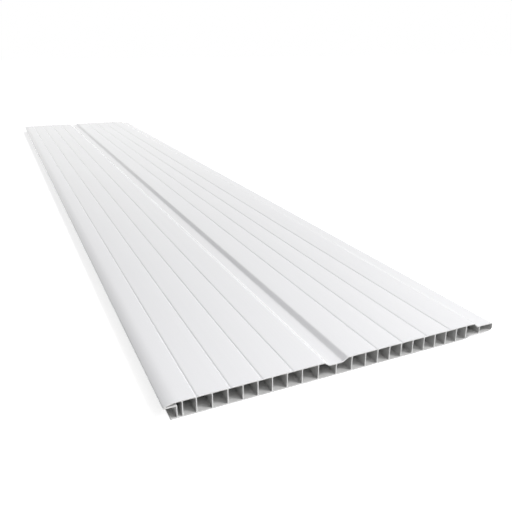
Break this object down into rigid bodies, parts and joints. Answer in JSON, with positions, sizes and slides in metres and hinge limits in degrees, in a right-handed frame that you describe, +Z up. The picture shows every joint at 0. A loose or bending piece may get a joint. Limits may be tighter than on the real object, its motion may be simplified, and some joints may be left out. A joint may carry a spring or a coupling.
{
  "type": "pvc ceiling panel",
  "caption": "Hollow extruded PVC ceiling board with fine lengthwise grooves, a recess along its middle, and a tongue and a socket on its long edges.",
  "frame": {"origin": "centre of the panel's box on the back plane, which is the plane it lies on", "axes": "+X across the panel towards the tongue, +Y along its length, +Z up from the back plane to the visible face"},
  "size_m": [0.2053, 1, 0.0094],
  "materials": {
    "white_pvc": "satin white rigid PVC as extruded, with saw-cut ends"
  },
  "bodies": {
    "root": {"ceiling_panel": "white_pvc"}
  },
  "joints": []
}
